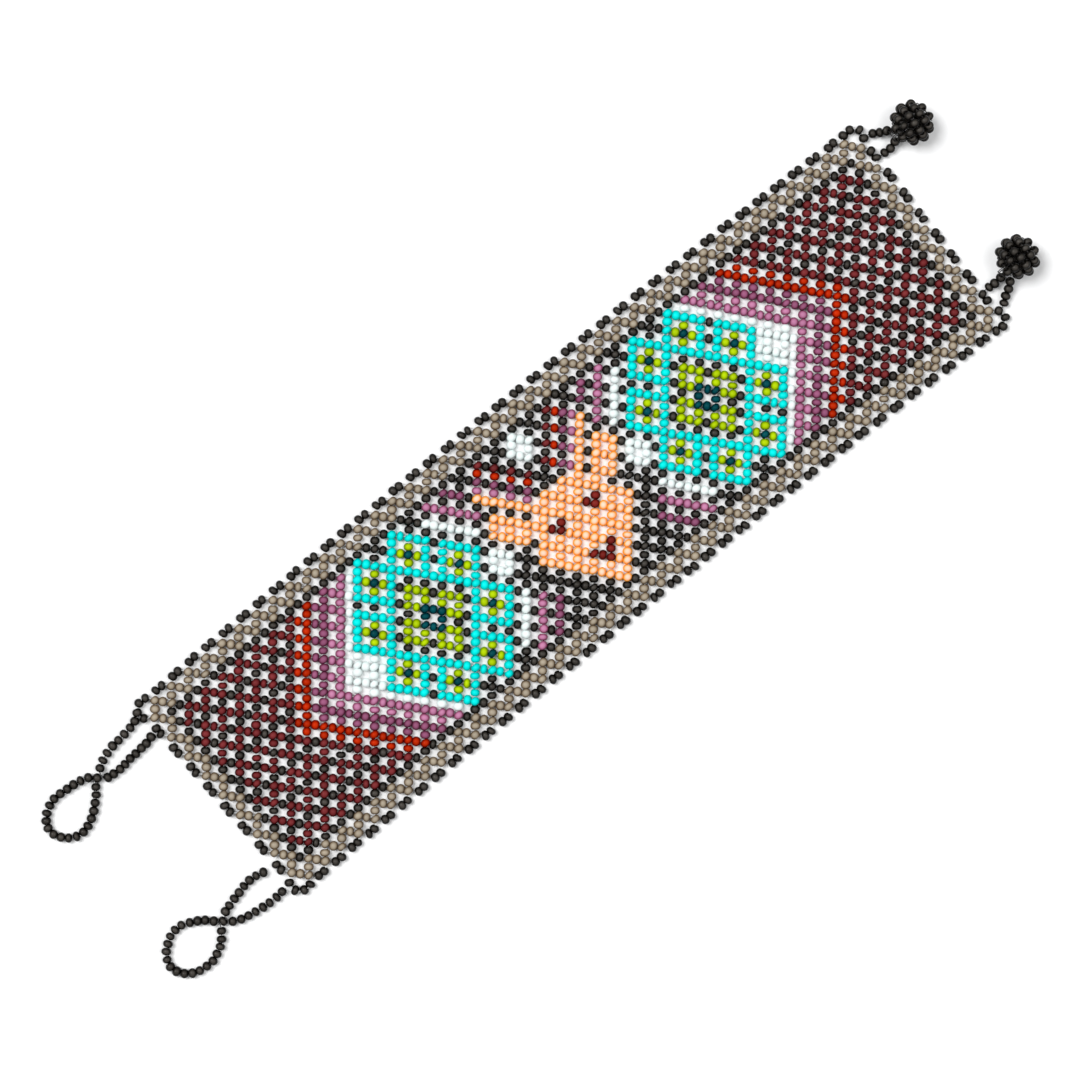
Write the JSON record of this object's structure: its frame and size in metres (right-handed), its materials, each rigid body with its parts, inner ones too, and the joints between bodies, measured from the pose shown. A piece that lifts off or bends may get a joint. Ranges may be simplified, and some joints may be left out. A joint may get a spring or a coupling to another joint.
{
  "type": "netted bead bracelet",
  "caption": "Flat band of netted glass seed beads with an animal face between two flowers, closed by two beaded loops and two beaded ball buttons.",
  "frame": {"origin": "centre of the underside of the band, the side that lies on the wrist", "axes": "+X along the band towards the ball buttons, +Y towards the long edge that the animal's ears point to, +Z out of the face of the band"},
  "size_m": [0.2306, 0.0537, 0.0094],
  "materials": {
    "thread": "satin",
    "taupe_beads": "gloss",
    "black_beads": "gloss",
    "turquoise_beads": "gloss",
    "maroon_beads": "gloss",
    "purple_beads": "gloss",
    "lilac_beads": "gloss",
    "peach_beads": "gloss"
  },
  "bodies": {
    "band_c": {"c_black": "black_beads", "c_border": "taupe_beads", "c_face": "peach_beads", "c_field": "lilac_beads", "c_thread": "thread"},
    "band_a1": {"a1_black": "black_beads", "a1_border": "taupe_beads", "a1_field": "purple_beads", "a1_flower": "turquoise_beads", "a1_thread": "thread"},
    "band_a2": {"a2_black": "black_beads", "a2_border": "taupe_beads", "a2_field": "purple_beads", "a2_flower": "turquoise_beads", "a2_thread": "thread"},
    "band_a3": {"a3_black": "black_beads", "a3_border": "taupe_beads", "a3_field": "maroon_beads", "a3_flower": "turquoise_beads", "a3_thread": "thread"},
    "band_a4": {"a4_black": "black_beads", "a4_border": "taupe_beads", "a4_field": "maroon_beads", "a4_thread": "thread"},
    "band_a5": {"a5_black": "black_beads", "a5_border": "taupe_beads", "a5_field": "maroon_beads", "a5_thread": "thread"},
    "band_b1": {"b1_black": "black_beads", "b1_border": "taupe_beads", "b1_field": "purple_beads", "b1_flower": "turquoise_beads", "b1_thread": "thread"},
    "band_b2": {"b2_black": "black_beads", "b2_border": "taupe_beads", "b2_field": "purple_beads", "b2_flower": "turquoise_beads", "b2_thread": "thread"},
    "band_b3": {"b3_black": "black_beads", "b3_border": "taupe_beads", "b3_field": "maroon_beads", "b3_flower": "turquoise_beads", "b3_thread": "thread"},
    "band_b4": {"b4_black": "black_beads", "b4_border": "taupe_beads", "b4_field": "maroon_beads", "b4_thread": "thread"},
    "band_b5": {"b5_black": "black_beads", "b5_border": "taupe_beads", "b5_field": "maroon_beads", "b5_thread": "thread"},
    "loop_p": {"loop_p_beads": "black_beads", "loop_p_thread": "thread"},
    "loop_n": {"loop_n_beads": "black_beads", "loop_n_thread": "thread"},
    "button_p": {"button_p_beads": "black_beads", "button_p_thread": "thread"},
    "button_n": {"button_n_beads": "black_beads", "button_n_thread": "thread"}
  },
  "joints": [
    {"name": "curl_a1", "type": "hinge", "parent": "band_c", "child": "band_a1", "pos_m": [-0.00888, -0.00001, 0.001], "axis": [-0.0178, 0.9998, 0], "range_deg": [0, 27]},
    {"name": "curl_a2", "type": "hinge", "parent": "band_a1", "child": "band_a2", "pos_m": [-0.02663, -0.00012, 0.001], "axis": [-0.0238, 0.9997, 0], "range_deg": [0, 27]},
    {"name": "curl_a3", "type": "hinge", "parent": "band_a2", "child": "band_a3", "pos_m": [-0.04438, -0.00033, 0.001], "axis": [-0.0297, 0.9996, 0], "range_deg": [0, 27]},
    {"name": "curl_a4", "type": "hinge", "parent": "band_a3", "child": "band_a4", "pos_m": [-0.06213, -0.00065, 0.001], "axis": [-0.0357, 0.9994, 0], "range_deg": [0, 27]},
    {"name": "curl_a5", "type": "hinge", "parent": "band_a4", "child": "band_a5", "pos_m": [-0.07987, -0.00107, 0.001], "axis": [-0.0416, 0.9991, 0], "range_deg": [0, 27]},
    {"name": "curl_b1", "type": "hinge", "parent": "band_c", "child": "band_b1", "pos_m": [0.00888, -0.00001, 0.001], "axis": [0.0119, -0.9999, 0], "range_deg": [0, 27]},
    {"name": "curl_b2", "type": "hinge", "parent": "band_b1", "child": "band_b2", "pos_m": [0.02663, -0.00012, 0.001], "axis": [0.0059, -1, 0], "range_deg": [0, 27]},
    {"name": "curl_b3", "type": "hinge", "parent": "band_b2", "child": "band_b3", "pos_m": [0.04438, -0.00033, 0.001], "axis": [-0.0001, -1, 0], "range_deg": [0, 27]},
    {"name": "curl_b4", "type": "hinge", "parent": "band_b3", "child": "band_b4", "pos_m": [0.06213, -0.00065, 0.001], "axis": [-0.006, -1, 0], "range_deg": [0, 27]},
    {"name": "curl_b5", "type": "hinge", "parent": "band_b4", "child": "band_b5", "pos_m": [0.07987, -0.00107, 0.001], "axis": [-0.012, -0.9999, 0], "range_deg": [0, 27]},
    {"name": "loop_p_lift", "type": "hinge", "parent": "band_a5", "child": "loop_p", "pos_m": [-0.09315, 0.01855, 0.001], "axis": [-0.0458, 0.999, 0], "range_deg": [0, 45]},
    {"name": "loop_n_lift", "type": "hinge", "parent": "band_a5", "child": "loop_n", "pos_m": [-0.09132, -0.02141, 0.001], "axis": [-0.0458, 0.999, 0], "range_deg": [0, 45]},
    {"name": "button_p_lift", "type": "hinge", "parent": "band_b5", "child": "button_p", "pos_m": [0.09256, 0.01857, 0.001], "axis": [-0.0161, -0.9999, 0], "range_deg": [0, 45]},
    {"name": "button_n_lift", "type": "hinge", "parent": "band_b5", "child": "button_n", "pos_m": [0.09191, -0.02143, 0.001], "axis": [-0.0161, -0.9999, 0], "range_deg": [0, 45]}
  ],
  "couplings": [
    {"joint": "curl_a2", "follows": "curl_a1", "ratio": 1},
    {"joint": "curl_a3", "follows": "curl_a1", "ratio": 1},
    {"joint": "curl_a4", "follows": "curl_a1", "ratio": 1},
    {"joint": "curl_a5", "follows": "curl_a1", "ratio": 1},
    {"joint": "curl_b2", "follows": "curl_b1", "ratio": 1},
    {"joint": "curl_b3", "follows": "curl_b1", "ratio": 1},
    {"joint": "curl_b4", "follows": "curl_b1", "ratio": 1},
    {"joint": "curl_b5", "follows": "curl_b1", "ratio": 1}
  ]
}
